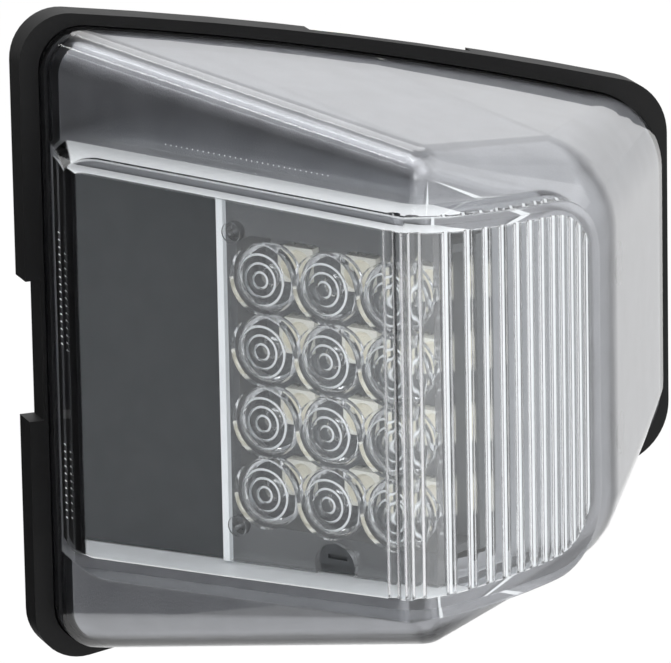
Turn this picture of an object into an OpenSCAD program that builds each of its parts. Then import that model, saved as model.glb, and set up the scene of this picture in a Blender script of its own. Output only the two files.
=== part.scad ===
// Side repeater lamp: a wedge-shaped clear lens over a silver bezel, with a raised
// fluted window in front of twelve LEDs, on a black housing with a rubber gasket.
// Frame: the origin is midway between the two fixing holes, on the mounting plane.
// +X runs towards the low end of the lamp, +Y into the vehicle and +Z up.
// Plan sizes are measured from the gasket's tall end (x) and from the plane where
// the lens is welded to the housing (y, negative towards the outside).

/* [Gasket] */
// Length of the gasket, which is the lamp's whole length
base_w = 100; // [96:0.5:106]
// Half height of the gasket at its tall end
tall_half = 49.3; // [47:0.1:52]
// Half height of the gasket at its low end
low_half = 27.3; // [25.5:0.1:30]
// Outward bow of the upper and lower edges
edge_bow = 2; // [1:0.1:3]
// Corner radius at the tall end
tall_corner_r = 7; // [5:0.5:9]
// Corner radius at the low end
low_corner_r = 9; // [7:0.5:11]
// Thickness of the gasket
gasket_t = 4.5; // [4:0.1:6]
// Width of the sealing pad on the gasket's rear face
pad_w = 5; // [4:0.1:5.5]
// Height of the notch in the tall end
end_notch_h = 21; // [16:0.5:26]
// Depth of the notch in the tall end
end_notch_d = 2.2; // [1.5:0.1:2.5]
// Start of the rebates in the upper and lower edges, from the tall end
edge_notch_x = 45; // [40:1:50]
// Length of the rebates in the upper and lower edges
edge_notch_w = 25; // [20:1:30]
// Depth of the rebates, taken from the rear face
edge_notch_d = 2.2; // [1.5:0.1:2.2]

/* [Lens shell] */
// Gasket margin beside the lens at the tall end
lens_margin_tall = 3; // [2.5:0.1:3.5]
// Gasket margin beside the lens at the low end
lens_margin_low = 2.2; // [1.8:0.1:3]
// Gasket margin above and below the lens
lens_margin_edge = 2.2; // [1.8:0.1:3]
// Corner radius of the lens outline at the tall end
lens_tall_r = 6; // [5.5:0.5:8]
// Corner radius of the lens outline at the low end
lens_low_r = 12; // [10:0.5:13]
// Height of the straight rim before the wedge starts
rim_h = 3.2; // [3:0.1:4]
// Distance of the wedge's crest from the tall end
crest_x = 40.1; // [38:0.1:42]
// Depth of the crest in front of the welding plane
crest_d = 52.5; // [50:0.1:55]
// Half height of the shell at the crest
crest_half = 36.5; // [36:0.1:38]
// Edge radius of the shell at the crest
crest_r = 5; // [5:0.5:6.5]
// Distance of the nose's far end from the tall end
nose_x = 72.2; // [70:0.1:75]
// Depth of the nose's far end
nose_d = 45.5; // [44:0.1:47]
// Half height of the shell at the nose's far end
nose_half = 32.7; // [31.5:0.1:34]
// Edge radius of the shell at the nose's far end
nose_r = 14; // [13.5:0.5:15]
// Wall of the lens shell
lens_wall = 2.5; // [2:0.1:2.8]

/* [Window] */
// How far the window stands proud of the sloping face
window_proud = 7.2; // [6:0.1:8]
// Wall of the window
window_wall = 2.6; // [2.2:0.1:2.8]
// Distance of the window's front edge from the gasket's tall end
window_x = 1.8; // [1.5:0.1:2.4]
// How far the foot of the end wall leans in
window_lean = 1.4; // [1:0.1:1.6]
// Distance of the window's far end from the gasket's tall end
window_end_x = 69.5; // [68:0.1:71]
// Depth of the window's far end in front of the welding plane
window_end_d = 47.4; // [46.8:0.1:48.5]
// Half height of the window at its tall end
window_tall_half = 31.4; // [30.5:0.1:32.5]
// Half height of the window at its far end
window_low_half = 26.9; // [26:0.1:28]
// Corner radius of the window at its tall end
window_tall_r = 4; // [3.8:0.1:6]
// How much of that corner the end wall cuts off
window_corner_cut = 0.5; // [0.4:0.1:1]
// Corner radius of the window at its far end
window_low_r = 10; // [8:0.5:11]
// Distance of the bend, where the flat front ends, from the tall end
bend_x = 35.7; // [34:0.1:37]
// Distance of the prism facet's end from the tall end
facet_x = 42.5; // [41.5:0.1:43.5]
// Depth of the prism facet's end
facet_d = 59.2; // [58:0.1:60]
// Radius of the fluted front beyond the facet
window_arc_r = 62; // [58:1:70]
// Number of flutes inside the window
flute_n = 12; // [8:1:12]
// Distance between the first two flutes
flute_pitch = 3.2; // [3:0.1:3.5]
// Ratio of each flute gap to the one before it
flute_ratio = 0.92; // [0.88:0.01:0.94]
// Radius of a flute
flute_r = 0.65; // [0.5:0.05:0.8]
// Radius of the two prisms beside the window's bend
prism_r = 1; // [0.8:0.1:1.1]
// Distance of the facet's prism from the bend
prism_facet_gap = 0.8; // [0.6:0.1:1]
// Distance of the flat front's prism from the bend
prism_front_gap = 2.2; // [2:0.1:2.6]

/* [Bezel and carrier] */
// Gap between the lens and the bezel under it
bezel_gap = 0.4; // [0.3:0.05:0.6]
// Wall of the bezel
bezel_wall = 1.4; // [1.2:0.1:1.6]
// Width of the bezel's rim that the carrier panel covers
seat_w = 1.8; // [1.5:0.1:2.2]
// Extra width of the rim at the tall end
seat_extra = 3.2; // [2:0.1:4]
// Distance of the bezel opening's far end from the tall end
opening_end_x = 52.5; // [52.2:0.1:54]
// Corner radius of the opening at the tall end
opening_tall_r = 3.6; // [3:0.1:4]
// Corner radius of the opening at its far end
opening_low_r = 2; // [1.5:0.1:3]
// Radius of the half-round stop at the foot of the carrier panel
stop_r = 3.2; // [2.8:0.1:3.4]
// Height of that stop in front of the panel
stop_h = 0.8; // [0.5:0.1:1]
// Thickness of the carrier panel
panel_t = 1.15; // [1:0.05:1.3]
// Wall round the collimators behind the carrier panel
carrier_wall = 1.2; // [1:0.1:1.5]
// Radius of the posts that stand the carrier on the housing
post_r = 2; // [1.6:0.1:2.4]
// Distance of the posts from the tall end
post_x = 16; // [14:0.5:17]
// Height of the posts above the mid-plane
post_z = 18; // [16:0.5:19]

/* [Optics] */
// Distance between neighbouring LEDs
led_pitch = 10.5; // [10.4:0.1:11]
// Columns of LEDs along the slope
led_cols = 3; // [3:1:3]
// Rows of LEDs
led_rows = 4; // [4:1:4]
// Distance of the first column from the foot of the slope
first_u = 37.4; // [36.5:0.1:37.6]
// Radius of a collimator's front
collimator_r = 5.15; // [4.8:0.05:5.15]
// Radius of a collimator's back
collimator_back_r = 4.2; // [3.8:0.1:4.5]
// Depth of a collimator's back behind the sloping face
collimator_d = 3.2; // [2.8:0.1:4]
// Depth of the rings in a collimator's front
ring_d = 0.5; // [0.3:0.05:0.6]
// How far a collimator stands in front of the optic plate
collimator_proud = 1.6; // [1.2:0.1:2]
// Thickness of the optic plate
optic_t = 1.6; // [1.4:0.1:1.6]
// Distance from the first column to the optic plate's edge
optic_margin = 8.3; // [8:0.1:9]
// Radius of the locating pegs of the optic plate
peg_r = 1.5; // [1.2:0.1:1.6]

/* [Circuit board] */
// Depth of the LED tops behind the sloping face
led_top = 8.8; // [8.2:0.1:9.2]
// Height of an LED package
led_h = 1.6; // [1.4:0.1:1.9]
// Width of an LED package along the slope
led_w = 5; // [4.6:0.1:5.2]
// Height of an LED package across the slope
led_l = 5.5; // [5:0.1:5.8]
// Thickness of the circuit board
board_t = 1.6; // [1:0.1:2]
// Half height of the circuit board
board_half = 23; // [22.5:0.1:23.2]
// Radius of the two screws that hold the board
screw_r = 1.1; // [0.9:0.1:1.3]

/* [Housing] */
// Thickness of the housing's flange
flange_t = 2.2; // [2:0.1:2.6]
// Distance of the tub's tall wall from the gasket's tall end
tub_x = 22; // [21:0.5:24]
// Distance of the tub's low wall from the gasket's low end
tub_low_inset = 22; // [21:0.5:26]
// Half height of the tub at its tall wall
tub_tall_half = 20; // [18:0.5:22]
// Half height of the tub at its low wall
tub_low_half = 15; // [13:0.5:17]
// Depth of the tub behind the mounting plane
tub_d = 14; // [12:0.5:18]
// Wall of the tub
tub_wall = 2.2; // [1.8:0.1:2.6]
// Corner radius of the tub
tub_r = 5; // [3:0.5:6]
// Outer radius of the connector socket
socket_r = 9; // [8.5:0.1:11]
// Wall of the connector socket
socket_wall = 2; // [1.6:0.1:2.2]
// Length of the connector socket behind the tub
socket_l = 13; // [11:0.5:16]
// Distance of the connector socket from the gasket's tall end
socket_x = 44; // [40:0.5:48]
// Distance between the two terminals
terminal_pitch = 5; // [4.5:0.1:6]
// Radius of a terminal
terminal_r = 0.8; // [0.7:0.05:1]
// Reach of the terminals into the socket
terminal_l = 6; // [5:0.5:8]

/* [Fixings] */
// Distance of each fixing hole from the gasket's end beside it
fixing_inset = 15; // [15:0.1:15.5]
// Radius of the thread in the inserts (M5)
thread_r = 2.5; // [2:0.1:2.5]
// Outer radius of the threaded inserts
insert_r = 3.3; // [3.1:0.1:3.4]
// Length of the threaded inserts
insert_l = 7; // [6:0.5:7]
// Outer radius of the bosses that hold the inserts
boss_r = 4.5; // [4.2:0.1:4.7]
// Distance of the nylon clips from the gasket's tall end
clip_x = 53.5; // [50:0.5:57]
// Gap between a nylon clip's shank and the gasket's sealing pad
clip_gap = 0.35; // [0.3:0.05:1]
// Radius of a nylon clip's head
clip_head_r = 6; // [5:0.1:6.5]
// Radius of a nylon clip's shank
clip_shank_r = 3; // [2.6:0.1:3]
// Radius of a nylon clip's stem in the flange
clip_stem_r = 2; // [1.6:0.1:2.2]
// Start of a nylon clip's head behind the mounting plane
clip_head_y = 10.5; // [8:0.5:12]
// Height of a nylon clip's head
clip_head_h = 5; // [4:0.5:6]

/* [Hidden] */
// Play between pieces that slide into each other
play = 0.15;
// Facets of the balls that round the shell
ball_fn = 32;
$fn = 48;

LED_NODES = [for (i = [1:led_cols * led_rows]) str("led_", i)];
RESISTOR_NODES = [for (i = [1:4]) str("resistor_", i)];

// An outline is [left x, right x, left half height, right half height,
// left corner radius, right corner radius, bow of the long edges].
GASKET = [0, base_w, tall_half, low_half, tall_corner_r, low_corner_r, edge_bow];
LENS = [lens_margin_tall, base_w - lens_margin_low, tall_half - lens_margin_edge,
        low_half - lens_margin_edge, lens_tall_r, lens_low_r, edge_bow];
WINDOW = [window_x - window_corner_cut, window_end_x, window_tall_half, window_low_half,
          window_tall_r, window_low_r, 0.2];
seat_inset = window_wall + seat_w;
// Half height of the bezel's opening at its far end, on the window's sloping edge
opening_low_half = window_tall_half - seat_inset
  - (window_tall_half - window_low_half) * (opening_end_x - window_x) / (window_end_x - window_x);
OPENING = [window_x + seat_inset + seat_extra, opening_end_x,
           window_tall_half - seat_inset, opening_low_half,
           opening_tall_r, opening_low_r, 0.2];
TUB = [tub_x, base_w - tub_low_inset, tub_tall_half, tub_low_half, tub_r, tub_r, 0.2];

// Large circle through the two virtual corners of an outline's upper edge
function chord(o) = norm([o[1] - o[0], o[3] - o[2]]);
function edge_r(o) = chord(o) * chord(o) / (8 * o[6]) + o[6] / 2;
function edge_mid(o) = [(o[0] + o[1]) / 2, (o[2] + o[3]) / 2];
function edge_up(o) = [o[2] - o[3], o[1] - o[0]] / chord(o);
function edge_centre(o) = edge_mid(o) - edge_up(o) * (edge_r(o) - o[6]);
// Centre of a corner that touches the end at x and the bowed edge from inside
function corner_centre(o, x, r) =
  let (c = edge_centre(o), big = edge_r(o) - r)
  [x, c[1] + sqrt(big * big - (x - c[0]) * (x - c[0]))];
function angle_from(c, p) = atan2(p[1] - c[1], p[0] - c[0]);
function arc(c, r, a0, a1, n) =
  [for (i = [0:n]) let (a = a0 + (a1 - a0) * i / n) c + r * [cos(a), sin(a)]];
// Upper half of an outline, from the left end to the right end
function upper_half(o, inset) =
  let (
    c = edge_centre(o),
    cl = corner_centre(o, o[0] + o[4], o[4]),
    cr = corner_centre(o, o[1] - o[5], o[5]),
    al = angle_from(c, cl),
    ar = angle_from(c, cr)
  )
  concat(
    arc(cl, o[4] - inset, 180, al, 12),
    arc(c, edge_r(o) - inset, al + (ar - al) / 8, ar - (ar - al) / 8, 6),
    arc(cr, o[5] - inset, ar, 0, 12)
  );
function outline(o, inset) =
  let (top = upper_half(o, inset), n = len(top))
  concat(top, [for (i = [1:n]) [top[n - i][0], -top[n - i][1]]]);

// Sloping face: its foot, its direction and its outward normal in plan
foot = [lens_margin_tall, -rim_h];
crest = [crest_x, -crest_d];
nose = [nose_x, -nose_d];
heel = [base_w - lens_margin_low, -rim_h];
function unit(v) = v / norm(v);
function outward(v) = [v[1], -v[0]] / norm(v);
slope_dir = unit(crest - foot);
slope_out = outward(crest - foot);
nose_out = outward(nose - crest);
heel_out = outward(heel - nose);
slope_a = atan2(slope_dir[1], slope_dir[0]);
// A point on the slope, u along it and w in front of it
function on_slope(u, w) = foot + u * slope_dir + w * slope_out;
// A corner between two walls, moved inward by t
function inner_corner(p, n1, n2, t) = p - t * (n1 + n2) / (1 + n1 * n2);
crest_c = inner_corner(crest, slope_out, nose_out, crest_r);
nose_c = inner_corner(nose, nose_out, heel_out, nose_r);
// Height of the straight rim on a surface that lies t inside the shell
function rim_at(t) = rim_h + t * (1 + slope_out[0]) / slope_out[1];

// Front of the window in plan
bend_u = (bend_x - foot[0] - window_proud * slope_out[0]) / slope_dir[0];
bend = on_slope(bend_u, window_proud);
facet_end = [facet_x, -facet_d];
far_end = [window_end_x, -window_end_d];
arc_chord = far_end - facet_end;
arc_mid = (far_end + facet_end) / 2;
arc_drop = sqrt(window_arc_r * window_arc_r - arc_chord * arc_chord / 4);
arc_c = arc_mid - outward(arc_chord) * arc_drop;
facet_out = outward(facet_end - bend);
arc_start_a = angle_from(arc_c, facet_end);
arc_end_a = angle_from(arc_c, far_end);
arc_start_out = [cos(arc_start_a), sin(arc_start_a)];

function front_u(t) =
  (window_x + t - foot[0] - (window_proud - t) * slope_out[0]) / slope_dir[0];
function window_front(t) = concat(
  [on_slope(front_u(t), window_proud - t)],
  [inner_corner(bend, slope_out, facet_out, t)],
  [inner_corner(facet_end, facet_out, arc_start_out, t)],
  arc(arc_c, window_arc_r - t, arc_start_a + (arc_end_a - arc_start_a) / 12, arc_end_a + 5, 12)
);
// Depth of the window's inner face at a place beyond the facet
function inner_front_y(x) =
  arc_c[1] - sqrt(pow(window_arc_r - window_wall, 2) - pow(x - arc_c[0], 2));
// Depth of the nose's inner face, where the window may run out in it
function inner_nose_y(x) =
  crest[1] + (x - crest[0]) * (nose[1] - crest[1]) / (nose[0] - crest[0]) - lens_wall / nose_out[1];
// The prisms stand on the inner faces on both sides of the bend
bend_in = inner_corner(bend, slope_out, facet_out, window_wall);
prism_c = [bend_in + prism_facet_gap * unit(facet_end - bend), bend_in - prism_front_gap * slope_dir];
function flute_x(i) =
  facet_x + flute_pitch * (1 - pow(flute_ratio, i)) / (1 - flute_ratio);
function flute_y(i) = min(inner_front_y(flute_x(i)), inner_nose_y(flute_x(i)));

bezel_in = lens_wall + bezel_gap;
bezel_back = bezel_in + bezel_wall;
panel_front = optic_t;
panel_back = optic_t + panel_t;
board_front = led_top + led_h;
board_back = board_front + board_t;
last_u = first_u + (led_cols - 1) * led_pitch;
led_reach = (led_rows - 1) * led_pitch / 2;
well_half = led_reach + collimator_r + 0.3;
well_u = first_u - collimator_r - 0.4;
well_end_u = last_u + collimator_r + 0.3;
board_u = well_u - 7;
board_end_u = well_end_u + 0.4;
screw_u = well_u - carrier_wall - 2.4;
screw_z = led_reach - 1;
screw_head_h = 1.4;
peg_u = well_u - 0.1;
peg_z = well_half + 0.4;
stop_u = first_u + led_pitch;
stop_z = well_half + carrier_wall + stop_r - 0.4;
// Leads of an LED package
led_lead_w = 0.9;
led_lead_t = 0.35;
led_lead_gap = 0.7;
// Small parts on the board
resistor_l = 1.6;
resistor_w = 0.8;
resistor_h = 0.45;
resistor_gap = 1.45;
chip_w = 4;
chip_l = 5;
chip_h = 1.5;
chip_pin_pitch = 1.27;
can_r = 3.1;
can_h = 5;
can_foot = 0.8;
can_u = last_u - 3;
can_z = 11;
diode_l = 4.3;
diode_w = 2.6;
diode_h = 2.2;
diode_u = last_u - 4;
// Leads, terminals, seal and vent
lead_r = 0.7;
lead_z = 4;
lead_bend_y = -20;
terminal_root = 3.7;
seal_r = 1;
vent_r = 3.5;
vent_x = socket_x + socket_r + 2 * seal_r + 2 * vent_r;
vent_bore_r = 1.5;
vent_h = 1.8;
tub_back_y = gasket_t + tub_d;
// Height of an outline's upper edge at a place away from its corners
function edge_z(o, x) = edge_centre(o)[1] + sqrt(pow(edge_r(o), 2) - pow(x - edge_centre(o)[0], 2));
clip_inner_h = 1.2;
clip_z = edge_z(GASKET, clip_x) - pad_w - clip_gap - clip_shank_r;
fixing_x = [fixing_inset, base_w - fixing_inset];

// The frame of the lens: x from the tall end, y from the welding plane
module lens_frame() translate([-base_w / 2, -gasket_t, 0]) children();

// The frame of the slope: x along it, y behind it, z up
module slope_frame() lens_frame() translate(foot) rotate([0, 0, slope_a]) children();

// A flat shape in x and z, as a plate from y0 back to y1
module plate(y0, y1)
  translate([0, y1, 0]) rotate([90, 0, 0]) linear_extrude(y1 - y0) children();

// A cylinder along y, from y0 back to y1
module rod(x, z, r, y0, y1)
  translate([x, y0, z]) rotate([-90, 0, 0]) cylinder(r = r, h = y1 - y0);

// The rounded wedge, t inside the outer surface of the lens
module wedge(t) {
  hull() {
    plate(-rim_at(t), 0) polygon(outline(LENS, t));
    for (side = [-1, 1]) {
      translate([crest_c[0], crest_c[1], side * (crest_half - crest_r)])
        sphere(crest_r - t, $fn = ball_fn);
      translate([nose_c[0], nose_c[1], side * (nose_half - nose_r)])
        sphere(nose_r - t, $fn = ball_fn);
    }
  }
}

// The block of the window in front of the slope, t inside its outer surface
module window_block(t) {
  back = on_slope(t + 0.4, -t - 0.7);
  intersection() {
    plate(-facet_d - 10, 0) polygon(outline(WINDOW, t));
    linear_extrude(4 * tall_half, center = true)
      polygon(concat([[window_x + window_lean + t, back[1]]], window_front(t), [[window_end_x, -rim_h]]));
  }
}

// The flutes stand on the inner face of the window, between its walls
module flutes() {
  intersection() {
    plate(-facet_d - 10, 0) polygon(outline(WINDOW, window_wall - 0.4));
    union() {
      for (i = [0:flute_n - 1])
        translate([flute_x(i), flute_y(i), 0])
          cylinder(r = flute_r, h = 4 * window_tall_half, center = true);
      for (c = prism_c)
        translate([c[0], c[1], 0])
          cylinder(r = prism_r, h = 4 * window_tall_half, center = true);
    }
  }
}

module outer_lens() color([0.92, 0.94, 0.96, 0.35]) lens_frame() {
  difference() {
    union() {
      wedge(0);
      window_block(0);
    }
    wedge(lens_wall);
    plate(-1, 1) polygon(outline(LENS, lens_wall));
    window_block(window_wall);
  }
  flutes();
}

module bezel() color("silver") lens_frame() {
  difference() {
    wedge(bezel_in);
    difference() {
      wedge(bezel_back);
      plate(-crest_d, 1) polygon(outline(OPENING, -bezel_wall));
    }
    difference() {
      plate(-1, 1) polygon(outline(LENS, bezel_back));
      plate(-2, 2) polygon(outline(OPENING, -bezel_wall));
    }
    plate(-crest_d - 1, 2) polygon(outline(OPENING, 0));
    clip_seat(clip_shank_r + play, -clip_inner_h - play, 1);
  }
}

// Plan strip that follows the slope between two depths behind it
module slope_strip(u0, u1, d0, d1)
  linear_extrude(4 * tall_half, center = true)
    polygon([on_slope(u0, -d0), on_slope(u1, -d0), on_slope(u1, -d1), on_slope(u0, -d1)]);

module well_box(grow, d0, d1)
  translate([well_u - grow, d0, -well_half - grow])
    cube([well_end_u - well_u + grow, d1 - d0, 2 * (well_half + grow)]);

// A half-round stop with a slot, on the panel under the optics
module panel_stop() slope_frame() difference() {
  rod(stop_u, -stop_z, stop_r, panel_front - stop_h, panel_front + 0.2);
  translate([stop_u - 2 * stop_r, -panel_back, -stop_z - 2 * stop_r])
    cube([4 * stop_r, 3 * panel_back, 2 * stop_r]);
  translate([stop_u - stop_r / 2, -panel_back, -stop_z + stop_r / 4])
    cube([stop_r, panel_back + panel_front - 0.2, stop_r / 5]);
}

module optic_carrier() color("dimgray") {
  difference() {
    union() {
      lens_frame() intersection() {
        slope_strip(3.2, well_end_u, panel_front, panel_back);
        plate(-facet_d, 0) polygon(outline(WINDOW, window_wall + 0.3));
      }
      slope_frame() well_box(carrier_wall, panel_back - 0.2, board_front);
      slope_frame() for (side = [-1, 1])
        rod(screw_u, side * screw_z, 2 * screw_r, panel_back - 0.2, board_front);
      slope_frame() for (side = [-1, 1])
        rod(peg_u, side * peg_z, peg_r + 1.2, panel_back - 0.2, board_front);
      panel_stop();
      lens_frame() for (side = [-1, 1])
        difference() {
          rod(post_x, side * post_z, post_r, -crest_d / 2, 0);
          slope_strip(0, last_u, -crest_d, panel_back - 0.2);
        }
    }
    slope_frame() well_box(0, panel_front - 1, board_front + 1);
    slope_frame() for (side = [-1, 1]) {
      rod(screw_u, side * screw_z, screw_r + 0.02, panel_back + 0.6, board_front + 1);
      rod(peg_u, side * peg_z, peg_r + 0.05, panel_front - 1, board_front + 1);
    }
  }
}

// One collimator: a shallow bowl of clear plastic with stepped rings on its front and a cup behind
module collimator() {
  ring_step = collimator_r / 4;
  side_start = 0.6;
  cup = [[1.7, collimator_d], [1.2, collimator_d - 1.2], [0, collimator_d - 1.5]];
  front = [for (i = [1:3]) each [
    [i * ring_step - 0.3, -collimator_proud],
    [i * ring_step, ring_d - collimator_proud],
    [i * ring_step + 0.05, -collimator_proud]
  ]];
  side = [for (i = [0:4]) let (k = i / 4)
    [collimator_back_r + (collimator_r - collimator_back_r) * sqrt(1 - k),
     side_start + (collimator_d - side_start) * k]];
  rotate([-90, 0, 0]) rotate_extrude()
    polygon(concat([[0, -collimator_proud]], front, [[collimator_r, -collimator_proud]], side, cup));
}

module optic_plate() color([0.9, 0.92, 0.95, 0.4]) {
  difference() {
    lens_frame() intersection() {
      slope_strip(first_u - optic_margin, well_end_u, 0, optic_t - 0.05);
      plate(-facet_d, 0) polygon(outline(WINDOW, window_wall + 0.5));
    }
    slope_frame() each_led() rod(0, 0, collimator_r - 0.5, -1, optic_t + 1);
    slope_frame() rod(stop_u, -stop_z, stop_r + play, -1, optic_t + 1);
  }
  slope_frame() {
    each_led() collimator();
    for (side = [-1, 1]) rod(peg_u, side * peg_z, peg_r, -0.4, panel_back + 1.5);
  }
}

function led_u(i) = first_u + floor(i / led_rows) * led_pitch;
function led_z(i) = led_reach - (i % led_rows) * led_pitch;
module each_led()
  for (i = [0:led_cols * led_rows - 1]) translate([led_u(i), 0, led_z(i)]) children();

module circuit_board() color("darkgreen") slope_frame() difference() {
  translate([board_u, board_front, -board_half])
    cube([board_end_u - board_u, board_t, 2 * board_half]);
  for (side = [-1, 1])
    rod(screw_u, side * screw_z, screw_r + 0.1, board_front - 1, board_back + 1);
}

// A six-lead package: body, round cup with a clear fill, three leads on each edge
module led(i) color("ivory") slope_frame() translate([led_u(i), led_top, led_z(i)]) {
  body_l = led_l - 2 * led_lead_t;
  difference() {
    translate([-led_w / 2, 0, -body_l / 2]) cube([led_w, led_h, body_l]);
    rotate([-90, 0, 0]) translate([0, 0, -0.1])
      cylinder(r1 = led_w / 2 - 0.45, r2 = led_w / 2 - 0.9, h = led_h / 2);
  }
  for (k = [-1:1], side = [-1, 1])
    translate([(k - 0.5) * led_lead_w + k * led_lead_gap, led_h - 0.7,
               side > 0 ? body_l / 2 - 0.01 : -led_l / 2])
      cube([led_lead_w, 0.7, led_lead_t + 0.01]);
}

module resistor(i) color("black") slope_frame() {
  upper = i < 2 ? 1 : -1;
  along = i % 2 == 0 ? -2.5 : 1.5;
  translate([last_u + along, board_front - resistor_h / 2, upper * (led_reach + led_l / 2 + resistor_gap)])
    cube([resistor_l, resistor_h, resistor_w], center = true);
}

module driver_chip() color("black") slope_frame() {
  translate([first_u - chip_w / 2, board_back + 0.15, -chip_l / 2]) cube([chip_w, chip_h, chip_l]);
  for (k = [0:3], side = [-1, 1])
    translate([first_u + side * (chip_w + 1) / 2 - 0.6, board_back, (k - 1.5) * chip_pin_pitch - 0.2])
      cube([1.2, 0.6, 0.4]);
}

module capacitor() color("silver") slope_frame() {
  translate([can_u - can_r - 0.2, board_back, can_z - can_r - 0.2])
    cube([2 * can_r + 0.4, can_foot, 2 * can_r + 0.4]);
  rod(can_u, can_z, can_r, board_back + can_foot, board_back + can_foot + can_h);
}

module diode() color("black") slope_frame()
  translate([diode_u, board_back, -can_z - diode_w / 2]) cube([diode_l, diode_h, diode_w]);

module board_screws() color("silver") slope_frame() for (side = [-1, 1]) difference() {
  union() {
    rod(screw_u, side * screw_z, screw_r, panel_back + 1, board_back);
    rod(screw_u, side * screw_z, 2 * screw_r, board_back, board_back + screw_head_h);
  }
  translate([screw_u, board_back + screw_head_h, side * screw_z])
    cube([2 * screw_r, 0.8, 0.5], center = true);
}

// Route of a jumper lead in plan, from the back of the board to its terminal
lead_start = on_slope(first_u + 1.4 * led_pitch, -board_back - lead_r - 0.05);
lead_bend = [socket_x, lead_bend_y];
lead_end = [socket_x, tub_back_y - tub_wall - terminal_root - lead_r - 0.1];
module lead(side) {
  route = [[lead_start[0], lead_start[1], side * lead_z], [lead_bend[0], lead_bend[1], side * lead_z],
           [lead_end[0], lead_end[1], side * terminal_pitch / 2]];
  for (p = route) translate(p) sphere(lead_r + 0.03);
  for (i = [0:1]) let (v = route[i + 1] - route[i])
    translate(route[i]) rotate([0, acos(v[2] / norm(v)), atan2(v[1], v[0])])
      cylinder(r = lead_r, h = norm(v));
}
module jumper_leads() color("red") lens_frame() for (side = [-1, 1]) lead(side);

module clip_seat(r, y0, y1)
  for (side = [-1, 1]) rod(clip_x, side * clip_z, r, y0, y1);

module housing() color([0.07, 0.07, 0.08]) lens_frame() difference() {
  union() {
    plate(0, flange_t) polygon(outline(LENS, 0));
    plate(0, tub_back_y) polygon(outline(TUB, 0));
    rod(socket_x, 0, socket_r, tub_back_y - 1, tub_back_y + socket_l);
    for (x = fixing_x) rod(x, 0, boss_r, gasket_t - insert_l - 1.5, gasket_t);
  }
  plate(-1, tub_back_y - tub_wall) polygon(outline(TUB, tub_wall));
  rod(socket_x, 0, socket_r - socket_wall, tub_back_y, tub_back_y + socket_l + 1);
  for (side = [-1, 1])
    rod(socket_x, side * terminal_pitch / 2, terminal_r + 0.02, tub_back_y - tub_wall - 1, tub_back_y + 1);
  for (x = fixing_x) rod(x, 0, insert_r + 0.02, gasket_t - insert_l, gasket_t + 1);
  clip_seat(clip_stem_r + 0.1, -1, flange_t + 1);
  rod(vent_x, 0, vent_bore_r, tub_back_y - tub_wall - 1, tub_back_y + 1);
}

module gasket() color([0.05, 0.05, 0.05]) lens_frame() difference() {
  plate(0, gasket_t) polygon(outline(GASKET, 0));
  plate(flange_t - 0.5, gasket_t + 1) polygon(outline(GASKET, pad_w));
  plate(-1, flange_t) polygon(outline(LENS, -play));
  translate([-1, -1, -end_notch_h / 2 - 1.2]) cube([1 + end_notch_d, gasket_t + 2, end_notch_h]);
  for (side = [-1, 1]) intersection() {
    difference() {
      plate(gasket_t - edge_notch_d, gasket_t + 1) polygon(outline(GASKET, -1));
      plate(gasket_t - edge_notch_d - 1, gasket_t + 2) polygon(outline(GASKET, 2));
    }
    translate([edge_notch_x, 0, side > 0 ? 0 : -tall_half * 2])
      cube([edge_notch_w, gasket_t + 2, tall_half * 2]);
  }
}

module threaded_inserts() color("goldenrod") lens_frame() for (x = fixing_x) difference() {
  rod(x, 0, insert_r, gasket_t - insert_l, gasket_t);
  rod(x, 0, thread_r, gasket_t - insert_l - 1, gasket_t + 1);
}

module terminals() color("silver") lens_frame() for (side = [-1, 1])
  rod(socket_x, side * terminal_pitch / 2, terminal_r,
      tub_back_y - tub_wall - terminal_root, tub_back_y + terminal_l);

module connector_seal() color("orangered") lens_frame()
  translate([socket_x, tub_back_y + seal_r, 0]) rotate([-90, 0, 0])
    rotate_extrude() translate([socket_r + seal_r + 0.05, 0]) circle(seal_r);

module breather_vent() color("dimgray") lens_frame() difference() {
  rod(vent_x, 0, vent_r, tub_back_y, tub_back_y + vent_h);
  rod(vent_x, 0, vent_bore_r, tub_back_y - 1, tub_back_y + vent_h / 2);
}

// A push-in clip: stem and inner head through the flange, collar, shank and tapered head
module clip(side) color("white") lens_frame() translate([clip_x, 0, side * clip_z])
  rotate([-90, 0, 0]) {
    translate([0, 0, -clip_inner_h]) cylinder(r = clip_shank_r, h = clip_inner_h);
    cylinder(r = clip_stem_r, h = flange_t + 1);
    translate([0, 0, flange_t]) cylinder(r = clip_shank_r, h = gasket_t + clip_head_y - flange_t);
    translate([0, 0, gasket_t + clip_head_y])
      cylinder(r1 = clip_head_r - 0.6, r2 = clip_head_r, h = 1);
    translate([0, 0, gasket_t + clip_head_y + 1])
      cylinder(r = clip_head_r, h = clip_head_h - 2);
    translate([0, 0, gasket_t + clip_head_y + clip_head_h - 1])
      cylinder(r1 = clip_head_r, r2 = clip_head_r - 1, h = 1);
  }

outer_lens();
bezel();
optic_carrier();
optic_plate();
circuit_board();
for (i = [0:led_cols * led_rows - 1]) led(i);
for (i = [0:3]) resistor(i);
driver_chip();
capacitor();
diode();
board_screws();
jumper_leads();
housing();
gasket();
threaded_inserts();
terminals();
connector_seal();
breather_vent();
clip(1);  // clip_top
clip(-1);  // clip_bottom
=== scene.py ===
"""Side repeater lamp: finishes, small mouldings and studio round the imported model."""

import math

import bmesh
import bpy
from mathutils import Matrix, Vector


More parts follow.
